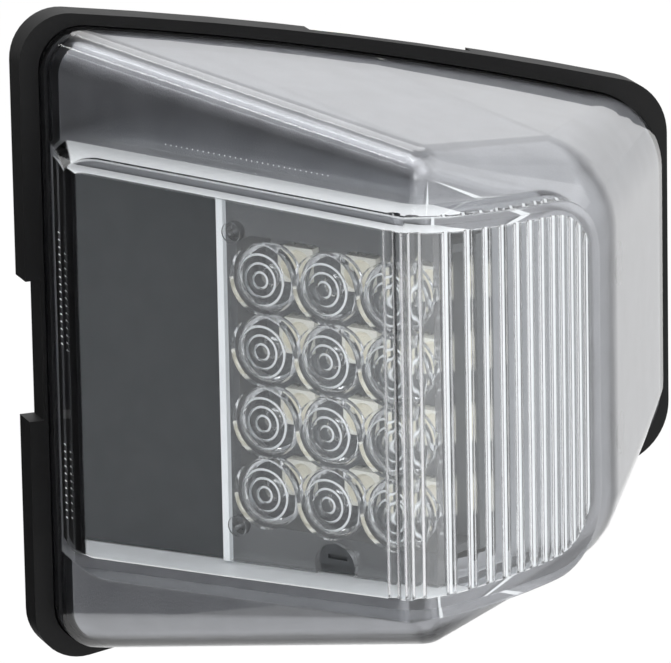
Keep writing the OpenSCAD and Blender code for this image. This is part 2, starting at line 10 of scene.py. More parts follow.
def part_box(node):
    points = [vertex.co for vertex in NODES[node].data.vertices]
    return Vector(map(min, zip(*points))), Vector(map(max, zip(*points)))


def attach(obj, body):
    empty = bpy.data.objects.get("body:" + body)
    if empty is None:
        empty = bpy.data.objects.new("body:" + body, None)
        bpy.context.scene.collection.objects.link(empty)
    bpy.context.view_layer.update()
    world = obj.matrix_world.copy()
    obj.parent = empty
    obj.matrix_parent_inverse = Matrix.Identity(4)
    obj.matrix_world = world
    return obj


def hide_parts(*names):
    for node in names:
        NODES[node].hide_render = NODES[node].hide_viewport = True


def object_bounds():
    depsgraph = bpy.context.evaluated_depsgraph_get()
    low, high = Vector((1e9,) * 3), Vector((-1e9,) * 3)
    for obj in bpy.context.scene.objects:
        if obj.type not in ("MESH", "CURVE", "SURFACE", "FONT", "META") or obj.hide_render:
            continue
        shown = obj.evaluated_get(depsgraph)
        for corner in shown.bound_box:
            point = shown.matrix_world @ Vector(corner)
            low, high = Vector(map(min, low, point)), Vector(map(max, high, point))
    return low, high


bl_info = {
    "name": "Side repeater lamp",
    "version": (1, 0, 0),
    "blender": (4, 5, 0),
    "location": "View3D > Sidebar > Lamp",
    "description": "Dresses a wedge-shaped side repeater lamp with its real finishes",
    "category": "Object",
}

MM = 0.001
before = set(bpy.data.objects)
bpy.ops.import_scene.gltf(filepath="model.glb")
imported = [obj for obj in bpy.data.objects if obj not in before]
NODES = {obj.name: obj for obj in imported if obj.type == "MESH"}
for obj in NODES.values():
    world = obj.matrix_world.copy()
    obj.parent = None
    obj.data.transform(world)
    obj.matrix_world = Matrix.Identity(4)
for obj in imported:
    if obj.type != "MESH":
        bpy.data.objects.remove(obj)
CAD_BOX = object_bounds()
LED_COLUMNS = 3
LED_ROWS = 4
LED_COUNT = LED_COLUMNS * LED_ROWS
LED_RISE = 1.6 * MM
RESISTOR_COUNT = 4


def linear(hex_colour, alpha=1.0):
    """An sRGB hex colour as linear red, green, blue and alpha."""
    parts = [int(hex_colour[i : i + 2], 16) / 255 for i in (1, 3, 5)]
    return (*[c / 12.92 if c <= 0.04045 else ((c + 0.055) / 1.055) ** 2.4 for c in parts], alpha)


def centre_of(name):
    """The middle of a CAD node's box, in metres."""
    low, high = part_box(name)
    return (low + high) / 2


# The slope runs from the first column of LEDs to the last, and faces out and to the left
SLOPE_RUN = centre_of(f"led_{LED_COUNT}") - centre_of(f"led_{LED_ROWS}")
SLOPE_DIR = SLOPE_RUN.normalized()
SLOPE_OUT = Vector((SLOPE_DIR.y, -SLOPE_DIR.x, 0))
UP = Vector((0, 0, 1))

# The lens's own frame: x from the gasket's tall end and y from the plane where the lens is welded
LENS_ORIGIN = Vector((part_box("gasket")[0][0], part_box("outer_lens")[1][1], 0))
LENS_FOOT = Vector((3.0, -3.2, 0)) * MM
WINDOW_END = 69.5 * MM
WINDOW_HALF = 31.4 * MM
WINDOW_LOW_HALF = 26.9 * MM
WINDOW_WALL = 2.6 * MM
LENS_MIDDLE = Vector((50.0, -20.0, 0)) * MM
LENS_CREST = Vector((40.1, -52.5, 0)) * MM
NOSE_OUT = Vector((7.0, -32.1, 0)).normalized()
HEEL_OUT = Vector((42.3, -25.6, 0)).normalized()
# Middle of the two gate marks on the bezel's far wall, and their height above and below it
GATE_MARK = Vector((77.3, -37.1, 0)) * MM - HEEL_OUT * 2.9 * MM
GATE_MARK_HEIGHT = 12.5 * MM
INSERT_RADIUS = 3.3 * MM
BORE_RADIUS = 2.5 * MM
THREAD_TURNS = 8
FLUTE_COUNT = 12
FLUTE_START = 42.5 * MM
FLUTE_PITCH = 3.2 * MM
FLUTE_RATIO = 0.92
FLUTE_RADIUS = 0.65 * MM
FLUTE_SPANS = [(1 - FLUTE_RATIO**i) / (1 - FLUTE_RATIO) for i in range(FLUTE_COUNT)]
FLUTE_X = [FLUTE_START + FLUTE_PITCH * span for span in FLUTE_SPANS]
# Share of a flute's radius, on both sides of its middle, that is painted white as a highlight for the light
# the flute refracts
FLUTE_HIGHLIGHT_SHARE = 0.32
# Lens faces further out than this hold the flutes
FLUTE_DEPTH = -44 * MM
# Depth under the lens's outer faces from which a face belongs to its lining
LINING_DEPTH = 2.2 * MM
# Width of the white painted highlight along the optic plate's edge, where the edge catches light
PLATE_BAND = 1.1 * MM
# Length of the tinned leads, and width of the cup's rim, at both ends of an LED package
LEAD_REACH = 0.34 * MM
CUP_RIM = 0.5 * MM
# Angle, in degrees, from which an edge stays sharp: on large mouldings and on small pieces
MOULDING_EDGE = 24
SMALL_EDGE = 30
# Ladders of bars on the window's end wall, in millimetres: place, then depth and lowest and highest bar
LADDER_X = 2.5
LADDERS = ((-8.5, 2, 20), (-8.5, -24, -11.5), (-12, 2, 18), (-12, -23, -12))
# Both ends of the weld dots: distance along the slope and height, in millimetres
WELD_ENDS = ((20, 32.6), (48, 31.4))


def colour_prop(name, description, hex_colour):
    """A colour that a user can change, with its default from a hex value."""
    default = linear(hex_colour)
    return bpy.props.FloatVectorProperty(
        name=name, description=description, subtype="COLOR", size=4, min=0, max=1, default=default
    )


def length_prop(name, description, millimetres):
    """A length that a user can change, in scene units."""
    return bpy.props.FloatProperty(
        name=name, description=description, unit="LENGTH", min=0, default=millimetres * MM
    )


class LampColours(bpy.types.PropertyGroup):
    """Colours of the lamp's finishes."""

    polycarbonate: colour_prop("Polycarbonate", "Tint of the clear lens", "#fbfdff")
    # Painted highlight: matt white given to clear faces in place of the light they refract
    highlight_white: colour_prop("Painted highlight", "White of the lens's eroded faces", "#f4f7f9")
    acrylic: colour_prop("Acrylic", "Tint of the optic plate", "#fbfcfd")
    silvering: colour_prop("Silvering", "Satin silver of the bezel", "#b2b3b6")
    carrier: colour_prop("Carrier", "Dark grey of the carrier panel", "#4c4e50")
    solder_resist: colour_prop("Solder resist", "Grey of the circuit board", "#5c5f61")
    led_body: colour_prop("LED body", "Cream of the LED packages", "#fffcf0")
    rubber: colour_prop("Rubber", "Black of the gasket", "#0c0c0d")
    housing: colour_prop("Housing", "Black of the housing", "#151516")
    nylon: colour_prop("Nylon", "Natural white of the clips", "#e9e9e4")
    brass: colour_prop("Brass", "Turned brass of the inserts", "#c9a45c")
    silicone: colour_prop("Silicone", "Orange of the connector seal", "#d8662a")
    floor: colour_prop("Floor", "Pale floor", "#f7f7f7")


class LampSizes(bpy.types.PropertyGroup):
    """Sizes of details that only the scene has."""

    satin_grain: length_prop("Satin grain", "Grain of the bezel's satin finish", 0.35)
    rubber_grain: length_prop("Rubber grain", "Grain of the moulded rubber", 0.5)
    rim_round: length_prop("Rim rounding", "Rounding of the lens's moulded edges", 0.5)
    ladder_pitch: length_prop("Ladder pitch", "Distance between the bars on the window's end wall", 1.1)
    dot_pitch: length_prop("Dot pitch", "Distance between the dots along the window's weld", 0.9)
    thread_pitch: length_prop("Thread pitch", "Pitch of the thread in the inserts", 0.8)


def colours():
    """The colours, as set in the panel."""
    return bpy.context.scene.lamp_colours


def sizes():
    """The sizes, as set in the panel."""
    return bpy.context.scene.lamp_sizes


# Materials


def new_material(name):
    """An empty node material and its tree."""
    material = bpy.data.materials.new(name)
    material.use_nodes = True
    material.node_tree.nodes.clear()
    return material, material.node_tree


def add(tree, kind, settings=None, links=None):
    """Adds a node with its settings and its links to other nodes' outputs."""
    node = tree.nodes.new(kind)
    for key, value in (settings or {}).items():
        if isinstance(key, str) and hasattr(node, key):
            setattr(node, key, value)
        else:
            node.inputs[key].default_value = value
    for key, source in (links or {}).items():
        tree.links.new(source, node.inputs[key])
    return node


def object_noise(tree, size, detail=3.0, stretch=(1, 1, 1)):
    """Noise in object space whose grain has that size in metres."""
    place = add(tree, "ShaderNodeTexCoord")
    mapping = add(tree, "ShaderNodeMapping", {"Scale": stretch}, {"Vector": place.outputs["Object"]})
    settings = {"Scale": 1 / size, "Detail": detail, "Roughness": 0.55}
    return add(tree, "ShaderNodeTexNoise", settings, {"Vector": mapping.outputs["Vector"]})


def spread(tree, source, low, high):
    """A value from 0 to 1 as one from low to high."""
    settings = {"To Min": low, "To Max": high}
    return add(tree, "ShaderNodeMapRange", settings, {"Value": source}).outputs["Result"]


def tint_pair(tree, source, colour, share):
    """The colour, varied by that share darker and lighter."""
    dark = tuple(c * (1 - share) for c in colour[:3]) + (1,)
    light = tuple(min(1, c * (1 + share)) for c in colour[:3]) + (1,)
    ramp = add(tree, "ShaderNodeValToRGB", {}, {"Fac": source})
    ramp.color_ramp.elements[0].position = 0.3
    ramp.color_ramp.elements[0].color = dark
    ramp.color_ramp.elements[1].position = 0.7
    ramp.color_ramp.elements[1].color = light
    return ramp.outputs["Color"]


def either(tree, first, second):
    """1 where one of two values is 1."""
    return add(tree, "ShaderNodeMath", {"operation": "MAXIMUM"}, {0: first, 1: second}).outputs[0]


def mixed(tree, share, first, second):
    """Two shaders, with that share of the second."""
    return add(tree, "ShaderNodeMixShader", {}, {0: share, 1: first, 2: second}).outputs["Shader"]


def finish_material(tree, shader):
    """Links a shader to the material's output."""
    add(tree, "ShaderNodeOutputMaterial", {}, {"Surface": shader})


def grained(name, colour, size, share, rough, bump, settings=None):
    """A moulded or metallised surface: varied colour and roughness and a fine bump of one grain size."""
    material, tree = new_material(name)
    noise = object_noise(tree, size)
    cloud = object_noise(tree, size * 14, 2.0)
    depth = {"Strength": bump, "Distance": size * 0.2}
    relief = add(tree, "ShaderNodeBump", depth, {"Height": noise.outputs["Fac"]})
    links = {
        "Base Color": tint_pair(tree, cloud.outputs["Fac"], colour, share),
        "Roughness": spread(tree, cloud.outputs["Fac"], rough[0], rough[1]),
        "Normal": relief.outputs["Normal"],
    }
    shader = add(tree, "ShaderNodeBsdfPrincipled", settings, links)
    finish_material(tree, shader.outputs["BSDF"])
    return material


def clear_plastic(name, colour, ior, rough, edge_round, haze):
    """Clear moulded plastic that refracts, with rounded edges, and lets lamp light straight through."""
    material, tree = new_material(name)
    ripple = object_noise(tree, 9 * MM, 1.0)
    links = {"Height": ripple.outputs["Fac"]}
    if edge_round:
        edge = add(tree, "ShaderNodeBevel", {"samples": 4, "Radius": edge_round})
        links["Normal"] = edge.outputs["Normal"]
    wave = add(tree, "ShaderNodeBump", {"Strength": 0.05, "Distance": 0.05 * MM}, links)
    settings = {"Base Color": colour, "Transmission Weight": 1 - haze, "IOR": ior, "Roughness": rough}
    shader = add(tree, "ShaderNodeBsdfPrincipled", settings, {"Normal": wave.outputs["Normal"]})
    through = add(tree, "ShaderNodeBsdfTransparent", {"Color": (0.98, 0.98, 0.98, 1)})
    path = add(tree, "ShaderNodeLightPath")
    lamp_light = either(tree, path.outputs["Is Shadow Ray"], path.outputs["Is Diffuse Ray"])
    finish_material(tree, mixed(tree, lamp_light, shader.outputs["BSDF"], through.outputs["BSDF"]))
    return material


def thin_shell(name, colour, ior, rough):
    """A clear wall that is too thin to bend the view: gloss on both sides and straight through."""
    material, tree = new_material(name)
    side = add(tree, "ShaderNodeNewGeometry")
    index = spread(tree, side.outputs["Backfacing"], ior, 1 / ior)
    share = add(tree, "ShaderNodeFresnel", {}, {"IOR": index})
    gloss = add(tree, "ShaderNodeBsdfGlossy", {"Roughness": rough})
    through = add(tree, "ShaderNodeBsdfTransparent", {"Color": colour})
    finish_material(tree, mixed(tree, share.outputs["Fac"], through.outputs["BSDF"], gloss.outputs["BSDF"]))
    return material


# Setting that makes a finish a metal
METAL = {"Metallic": 1.0}


def make_materials():
    """Every finish of the lamp, by name."""
    c = colours()
    s = sizes()
    return {
        # Polycarbonate, injection moulded in a polished tool: clear, glossy, high refraction
        "polycarbonate": clear_plastic(
            "clear_polycarbonate", c.polycarbonate, 1.585, 0.01, s.rim_round, 0.0
        ),
        # The same polycarbonate on the shell's lining, which lies on the bezel and so doesn't bend the view
        "shell": thin_shell("lining_polycarbonate", linear("#fafafb"), 1.585, 0.012),
        # Polycarbonate given a matt white as a painted highlight, standing in for light refracted and
        # reflected inside the clear lens, with a faint sheen
        "painted_highlight": grained(
            "painted_highlight_polycarbonate",
            c.highlight_white,
            0.3 * MM,
            0.03,
            (0.3, 0.45),
            0.1,
            {"Transmission Weight": 0.1},
        ),
        # Acrylic, moulded in a polished tool: clear with crisp inner highlights
        "acrylic": clear_plastic("clear_acrylic", c.acrylic, 1.49, 0.02, 0, 0.06),
        # ABS with a vacuum-metallised satin coat: soft broad highlights with a fine sparkle
        "silvering": grained(
            "satin_metallised_abs", c.silvering, s.satin_grain, 0.06, (0.38, 0.5), 0.6, METAL
        ),
        # The same coat over a polished spot of the tool: smoother where the plastic was let in
        "polished_silvering": grained(
            "polished_metallised_abs", c.silvering, s.satin_grain, 0.03, (0.22, 0.3), 0.1, METAL
        ),
        # ABS moulded against a fine spark-eroded tool: even dark grey with a low sheen
        "carrier": grained("moulded_dark_abs", c.carrier, 0.25 * MM, 0.06, (0.42, 0.55), 0.2),
        # Glass-fibre board with a grey solder resist: smooth, slightly glossy
        "board": grained("grey_solder_resist", c.solder_resist, 0.6 * MM, 0.05, (0.3, 0.4), 0.1),
        # White-filled polyamide of LED packages: matt cream
        "led": grained("cream_led_package", c.led_body, 0.2 * MM, 0.03, (0.45, 0.6), 0.1),
        # Silicone gel over the LED chips: warm white with a wet sheen
        "gel": grained("led_gel", linear("#f6f1de"), 0.5 * MM, 0.03, (0.15, 0.25), 0.05),
        # EPDM rubber, compression moulded: near black, dull, with a faint bloom
        "rubber": grained(
            "moulded_epdm_rubber",
            c.rubber,
            s.rubber_grain,
            0.18,
            (0.5, 0.68),
            0.3,
            {"Specular IOR Level": 0.3},
        ),
        # ABS, moulded with a fine grain: black with a soft sheen
        "housing": grained("moulded_black_abs", c.housing, 0.4 * MM, 0.12, (0.38, 0.5), 0.25),
        # Polyamide, moulded natural: waxy white that lets a little light in
        "nylon": grained(
            "natural_nylon", c.nylon, 0.5 * MM, 0.03, (0.35, 0.5), 0.1, {"Subsurface Weight": 0.15}
        ),
        # Free-cutting brass, turned: warm metal with faint tool marks
        "brass": grained("turned_brass", c.brass, 0.2 * MM, 0.06, (0.2, 0.32), 0.15, METAL),
        # Tin plate on brass: pale soft metal
        "tin": grained("tin_plated_brass", linear("#d6d5d0"), 0.2 * MM, 0.05, (0.22, 0.35), 0.1, METAL),
        # Zinc plate on steel screws: cool grey metal
        "zinc": grained("zinc_plated_steel", linear("#b9bcc0"), 0.2 * MM, 0.06, (0.25, 0.38), 0.1, METAL),
        # Drawn aluminium can: bright soft metal
        "can": grained("drawn_aluminium", linear("#cfd0d2"), 0.3 * MM, 0.04, (0.22, 0.3), 0.1, METAL),
        # Epoxy moulding compound: matt black
        "epoxy": grained("black_epoxy", linear("#1b1b1c"), 0.2 * MM, 0.1, (0.5, 0.65), 0.2),
        # PVC wire insulation: glossy red
        "wire": grained("red_pvc_insulation", linear("#a3231c"), 0.6 * MM, 0.05, (0.3, 0.4), 0.1),
        # Liquid silicone rubber: soft orange
        "silicone": grained("orange_silicone", c.silicone, 0.5 * MM, 0.05, (0.4, 0.5), 0.1),
    }


MATERIALS = {}


def finish_of(name):
    """A finish, made on first use."""
    if not MATERIALS:
        MATERIALS.update(make_materials())
    return MATERIALS[name]


def dress(node, finish):
    """Gives a CAD node its finish."""
    piece = NODES[node]
    piece.data.materials.clear()
    piece.data.materials.append(finish_of(finish))
    return piece


def paint(piece, finish, chosen):
    """Gives a finish to the faces that a test of middle and normal, both in metres, chooses."""
    mesh = piece.data
    mesh.materials.append(finish_of(finish))
    for face in mesh.polygons:
        if chosen(face.center, face.normal):
            face.material_index = len(mesh.materials) - 1


def smooth_copy(node, name, finish, sharp_degrees):
    """A copy of a CAD node whose curved walls are shaded smooth, standing for the node."""
    mesh = NODES[node].data.copy()
    mesh.name = name
    mesh.materials.clear()
    mesh.materials.append(finish_of(finish))
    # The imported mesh's own corner normals no longer fit once its faces are merged
    if "custom_normal" in mesh.attributes:
        mesh.attributes.remove(mesh.attributes["custom_normal"])
    work = bmesh.new()
    work.from_mesh(mesh)
    bmesh.ops.remove_doubles(work, verts=work.verts, dist=0.002 * MM)
    bmesh.ops.dissolve_limit(work, angle_limit=math.radians(0.2), verts=work.verts, edges=work.edges)
    bmesh.ops.triangulate(work, faces=work.faces)
    for face in work.faces:
        face.smooth = True
    work.to_mesh(mesh)
    work.free()
    mesh.set_sharp_from_angle(angle=math.radians(sharp_degrees))
    piece = bpy.data.objects.new(name, mesh)
    bpy.context.scene.collection.objects.link(piece)
    even = piece.modifiers.new("even_normals", "WEIGHTED_NORMAL")
    even.keep_sharp = True
    even.weight = 100
    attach(piece, "root")
    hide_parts(node)
    return piece


# Repeated details


def on_slope(along, proud, height):
    """A point on the lens's sloping face, all in millimetres."""
    return LENS_ORIGIN + LENS_FOOT + (SLOPE_DIR * along + SLOPE_OUT * proud + UP * height) * MM


def repeat(name, finish, start, step, count, turn, shape, settings):
    """Repeats a shape along a line with Geometry Nodes and bakes the result to a plain mesh."""
    group = bpy.data.node_groups.new(name, "GeometryNodeTree")
    group.interface.new_socket("Geometry", in_out="OUTPUT", socket_type="NodeSocketGeometry")
    inputs = {
        "Count": ("NodeSocketInt", count),
        "Start": ("NodeSocketVector", start),
        "Step": ("NodeSocketVector", step),
        "Turn": ("NodeSocketVector", turn),
        **{label: ("NodeSocketFloat", value) for label, value in settings.items()},
    }
    sockets = {
        label: group.interface.new_socket(label, in_out="INPUT", socket_type=kind)
        for label, (kind, _) in inputs.items()
    }
    given = add(group, "NodeGroupInput")
    links = {
        "Count": given.outputs["Count"],
        "Start Location": given.outputs["Start"],
        "Offset": given.outputs["Step"],
    }
    line = add(group, "GeometryNodeMeshLine", {"mode": "OFFSET"}, links)
    links = {
        "Points": line.outputs["Mesh"],
        "Instance": shape(group, given),
        "Rotation": given.outputs["Turn"],
    }
    placed = add(group, "GeometryNodeInstanceOnPoints", {}, links)
    real = add(group, "GeometryNodeRealizeInstances", {}, {"Geometry": placed.outputs["Instances"]})
    links = {"Geometry": real.outputs["Geometry"]}
    dressed = add(group, "GeometryNodeSetMaterial", {"Material": finish_of(finish)}, links)
    add(group, "NodeGroupOutput", {}, {"Geometry": dressed.outputs["Geometry"]})
    source = bpy.data.objects.new(name + "_source", bpy.data.meshes.new(name + "_source"))
    bpy.context.scene.collection.objects.link(source)
    modifier = source.modifiers.new("repeat", "NODES")
    modifier.node_group = group
    for label, (kind, value) in inputs.items():
        modifier[sockets[label].identifier] = list(value) if kind == "NodeSocketVector" else value
    depsgraph = bpy.context.evaluated_depsgraph_get()
    mesh = bpy.data.meshes.new_from_object(source.evaluated_get(depsgraph), depsgraph=depsgraph)
    mesh.name = name
    bpy.data.objects.remove(source)
    piece = bpy.data.objects.new(name, mesh)
    bpy.context.scene.collection.objects.link(piece)
    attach(piece, "root")
    return piece


def bar_shape(group, given):
    """A bar, as a box with the sizes of the group's inputs."""
    links = {"X": given.outputs["Depth"], "Y": given.outputs["Width"], "Z": given.outputs["Height"]}
    size = add(group, "ShaderNodeCombineXYZ", {}, links)
    return add(group, "GeometryNodeMeshCube", {}, {"Size": size.outputs["Vector"]}).outputs["Mesh"]


def disc_shape(group, given):
    """A flat disc."""
    settings = {"Vertices": 48}
    links = {"Radius": given.outputs["Radius"], "Depth": given.outputs["Depth"]}
    return add(group, "GeometryNodeMeshCylinder", settings, links).outputs["Mesh"]


def dot_shape(group, given):
    """A small ball."""
    links = {"Radius": given.outputs["Radius"]}
    return add(group, "GeometryNodeMeshIcoSphere", {"Subdivisions": 2}, links).outputs["Mesh"]


def ring_shape(group, given):
    """A thin ring."""
    circle = "GeometryNodeCurvePrimitiveCircle"
    path = add(group, circle, {"Resolution": 48}, {"Radius": given.outputs["Radius"]})
    wire = add(group, circle, {"Resolution": 6}, {"Radius": given.outputs["Wire"]})
    links = {"Curve": path.outputs["Curve"], "Profile Curve": wire.outputs["Curve"]}
    return add(group, "GeometryNodeCurveToMesh", {}, links).outputs["Mesh"]


def make_repeats():
    """Serrations of the window's end wall, weld dots, thread turns and gate marks."""
    s = sizes()
    level = (0, 0, 0)
    # The end wall's bars and the weld dots are real mouldings; their matt white is a painted highlight for
    # the light caught on them
    bar = {"Depth": 0.12 * MM, "Width": 0.9 * MM, "Height": 0.1 * MM}
    for i, (away, low, high) in enumerate(LADDERS):
        name = f"ladder_{i + 1}"
        start = LENS_ORIGIN + Vector((LADDER_X, away, low)) * MM
        step = UP * s.ladder_pitch
        count = int((high - low) * MM / s.ladder_pitch)
        repeat(name, "painted_highlight", start, step, count, level, bar_shape, bar)
    dot = {"Radius": 0.1 * MM}
    for i, side in enumerate((1, -1)):
        name = f"weld_dots_{i + 1}"
        start, end = [on_slope(along, -0.3, side * height) for along, height in WELD_ENDS]
        count = int((end - start).length / s.dot_pitch)
        step = (end - start) / count
        repeat(name, "painted_highlight", start, step, count, level, dot_shape, dot)
    thread = {"Radius": BORE_RADIUS, "Wire": 0.3 * MM}
    for i, corner in enumerate(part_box("threaded_inserts")):
        name = f"thread_{i + 1}"
        inward = 1 if corner.x < 0 else -1
        start = Vector((corner.x + inward * INSERT_RADIUS, -0.4 * MM, 0))
        turn = (math.pi / 2, 0, 0)
        step = Vector((0, -s.thread_pitch, 0))
        repeat(name, "brass", start, step, THREAD_TURNS, turn, ring_shape, thread)
    start = LENS_ORIGIN + GATE_MARK - UP * GATE_MARK_HEIGHT
    step = UP * 2 * GATE_MARK_HEIGHT
    turn = HEEL_OUT.to_track_quat("Z", "Y").to_euler()
    mark = {"Radius": 3.2 * MM, "Depth": 0.15 * MM}
    repeat("gate_marks", "polished_silvering", start, step, 2, turn, disc_shape, mark)


# Stage and camera

# The view of the lamp: azimuth, elevation and roll, distance and the point it looks at
CAMERA_AZIMUTH = math.radians(20.4)
CAMERA_ELEVATION = math.radians(16.05)
CAMERA_ROLL = math.radians(-1.07)
CAMERA_DISTANCE = 1124 * MM
CAMERA_TARGET = Vector((-2.7, -4.5, -3.7)) * MM
SENSOR_WIDTH = 36.0
FOCAL_LENGTH = 413.1

# Strength of the surroundings as fill light, where what is seen of them is 1
FILL_LIGHT = 0.85
# Softboxes, in metres: place, width, height and radiance
SOFTBOXES = {
    "key_softbox": ((0.35, -0.8, 0.9), 0.9, 0.9, 0.8),
    "optics_softbox": ((-0.42, -0.75, 0.28), 0.35, 0.35, 2.2),
    "top_softbox": ((0.15, 0.45, 0.75), 0.6, 0.4, 3.0),
    "nose_softbox": ((0.56, -0.3, 0.5), 0.6, 0.6, 1.0),
}
# Floor: its side, the gap under the lamp, and the share of white that the view adds to it
FLOOR_SIDE = 6
FLOOR_DROP = 0.07
FLOOR_WHITE = 0.92
# Thin strips along the lens's rounded upper edge: direction from the edge, width and radiance
STRIPS = {
    "edge_strip": ((-0.608, 0.018, 0.791), 0.009, 14.0),
    "roof_strip": ((-0.013, 0.45, 0.891), 0.006, 12.0),
}
STRIP_LENGTH = 0.14
STRIP_DISTANCE = 0.3
# Point of that edge, in millimetres: along the slope, proud of it, and up
STRIP_EDGE = (30, 0, 40)
# How far that edge falls for each step along the slope
EDGE_FALL = 0.129


def make_camera():
    """The camera at the viewing angle of the photograph."""
    sin_a, cos_a = math.sin(CAMERA_AZIMUTH), math.cos(CAMERA_AZIMUTH)
    sin_e, cos_e = math.sin(CAMERA_ELEVATION), math.cos(CAMERA_ELEVATION)
    back = Vector((-sin_a * cos_e, -cos_a * cos_e, sin_e))
    level_right = Vector((cos_a, -sin_a, 0))
    level_up = Vector((sin_a * sin_e, cos_a * sin_e, cos_e))
    right = level_right * math.cos(CAMERA_ROLL) + level_up * math.sin(CAMERA_ROLL)
    up = -level_right * math.sin(CAMERA_ROLL) + level_up * math.cos(CAMERA_ROLL)
    data = bpy.data.cameras.new("camera")
    data.sensor_fit = "HORIZONTAL"
    data.sensor_width = SENSOR_WIDTH
    data.lens = FOCAL_LENGTH
    data.clip_start = 0.01
    camera = bpy.data.objects.new("camera", data)
    place = CAMERA_TARGET + CAMERA_DISTANCE * back
    camera.matrix_world = Matrix.Translation(place) @ Matrix((right, up, back)).transposed().to_4x4()
    bpy.context.scene.collection.objects.link(camera)
    bpy.context.scene.camera = camera


def card(name, place, towards, width, height):
    """A flat rectangle whose face looks towards a point."""
    turn = (towards - place).to_track_quat("Z", "Y").to_matrix().to_4x4()
    signs = ((-1, -1), (1, -1), (1, 1), (-1, 1))
    corners = [Vector((x * width / 2, y * height / 2, 0)) for x, y in signs]
    mesh = bpy.data.meshes.new(name)
    mesh.from_pydata([Matrix.Translation(place) @ turn @ c for c in corners], [], [(0, 1, 2, 3)])
    piece = bpy.data.objects.new(name, mesh)
    bpy.context.scene.collection.objects.link(piece)
    return piece


def softbox(name, place, towards, width, height, radiance, along=None):
    """An area light of a given brightness that looks towards a point, with its width along a line."""
    data = bpy.data.lights.new(name, "AREA")
    data.shape = "RECTANGLE"
    data.size = width
    data.size_y = height
    data.energy = radiance * math.pi * width * height
    light = bpy.data.objects.new(name, data)
    back = (place - towards).normalized()
    turn = back.to_track_quat("Z", "Y").to_matrix().to_4x4()
    if along:
        up = back.cross(along).normalized()
        turn = Matrix((up.cross(back), up, back)).transposed().to_4x4()
    light.matrix_world = Matrix.Translation(place) @ turn
    bpy.context.scene.collection.objects.link(light)
    return light


def seen_directly(tree):
    """1 for what the camera, gloss and glass see."""
    path = add(tree, "ShaderNodeLightPath")
    gloss = either(tree, path.outputs["Is Glossy Ray"], path.outputs["Is Transmission Ray"])
    return either(tree, path.outputs["Is Camera Ray"], gloss)


def white_for_view(name, shade, direct_share):
    """A pale matt surface that the camera, gloss and glass see nearly white, with its shadows."""
    material, tree = new_material(name)
    matt = add(tree, "ShaderNodeBsdfDiffuse", {"Color": shade})
    glow = add(tree, "ShaderNodeEmission", {"Color": (1, 1, 1, 1), "Strength": 1.0})
    settings = {"operation": "MULTIPLY", 1: direct_share}
    share = add(tree, "ShaderNodeMath", settings, {0: seen_directly(tree)})
    finish_material(tree, mixed(tree, share.outputs[0], matt.outputs["BSDF"], glow.outputs["Emission"]))
    return material


def unseen_flag(name, shade):
    """A dark flag as photographers hang beside glossy things: only glossy rays see it."""
    material, tree = new_material(name)
    matt = add(tree, "ShaderNodeBsdfDiffuse", {"Color": shade})
    clear = add(tree, "ShaderNodeBsdfTransparent")
    seen = add(tree, "ShaderNodeLightPath").outputs["Is Glossy Ray"]
    finish_material(tree, mixed(tree, seen, clear.outputs["BSDF"], matt.outputs["BSDF"]))
    return material


def make_world():
    """White surroundings for the eye, gloss and glass, and a softer grey for fill light."""
    world = bpy.data.worlds.new("studio")
    world.use_nodes = True
    tree = world.node_tree
    tree.nodes.clear()
    strength = spread(tree, seen_directly(tree), FILL_LIGHT, 1.0)
    back = add(tree, "ShaderNodeBackground", {"Color": (1, 1, 1, 1)}, {"Strength": strength})
    add(tree, "ShaderNodeOutputWorld", {}, {"Surface": back.outputs["Background"]})
    bpy.context.scene.world = world


def make_stage():
    """Floor, flags, lamps, world and camera."""
    make_camera()
    make_world()
    middle = Vector((0, -20, 0)) * MM
    low = CAD_BOX[0][2]
    floor = card("floor", Vector((0, 0, low - FLOOR_DROP)), UP, FLOOR_SIDE, FLOOR_SIDE)
    floor.data.materials.append(white_for_view("pale_floor", colours().floor, FLOOR_WHITE))
    velvet = unseen_flag("black_velvet", linear("#1c1c1e"))
    flag = card("dark_flag", Vector((-0.26, -0.06, 0.31)), Vector((0, -0.06, 0.31)), 0.86, 0.9)
    flag.data.materials.append(velvet)
    place = Vector((-0.3, 0.45, low - FLOOR_DROP + 0.01))
    mat = card("dark_mat", place, place + UP, 0.5, 0.8)
    mat.data.materials.append(velvet)
    for name, (place, width, height, radiance) in SOFTBOXES.items():
        softbox(name, Vector(place), middle, width, height, radiance)
    edge = on_slope(*STRIP_EDGE)
    line = (SLOPE_DIR - UP * EDGE_FALL).normalized()
    for name, (away, width, radiance) in STRIPS.items():
        place = edge + Vector(away) * STRIP_DISTANCE
        softbox(name, place, edge, STRIP_LENGTH, width, radiance, line)


# Pieces


def is_flute(middle, normal):
    """Tells whether a face of the lens belongs to a flute inside the window."""
    place = middle - LENS_ORIGIN
    if normal.y < -0.3 or abs(place.z) > WINDOW_HALF - WINDOW_WALL or abs(normal.z) > 0.5:
        return False
    return place.y < FLUTE_DEPTH and any(abs(place.x - x) < FLUTE_HIGHLIGHT_SHARE * FLUTE_RADIUS for x in FLUTE_X)


def is_window_side(middle, normal):
    """Tells whether a face of the lens lines the window's upper or lower wall from inside."""
    place = middle - LENS_ORIGIN
    proud = (place - LENS_FOOT).dot(SLOPE_OUT)
    inside = normal.z * place.z < 0 and abs(normal.z) > 0.45
    near = abs(place.z) < WINDOW_HALF - WINDOW_WALL + 0.5 * MM and place.x < WINDOW_END
    return inside and near and proud > -4 * MM


def is_shell_lining(middle, normal):
    """Tells whether a face of the lens lines the even shell from inside, beside the window."""
    place = middle - LENS_ORIGIN
    if normal.dot(place - LENS_MIDDLE) > 0:
        return False
    share = min(1, max(0, place.x / WINDOW_END))
    half = WINDOW_HALF + (WINDOW_LOW_HALF - WINDOW_HALF) * share
    proud = max((place - LENS_FOOT).dot(SLOPE_OUT), (place - LENS_CREST).dot(NOSE_OUT))
    return abs(place.z) > half + 0.1 * MM or place.x > WINDOW_END or proud < -LINING_DEPTH


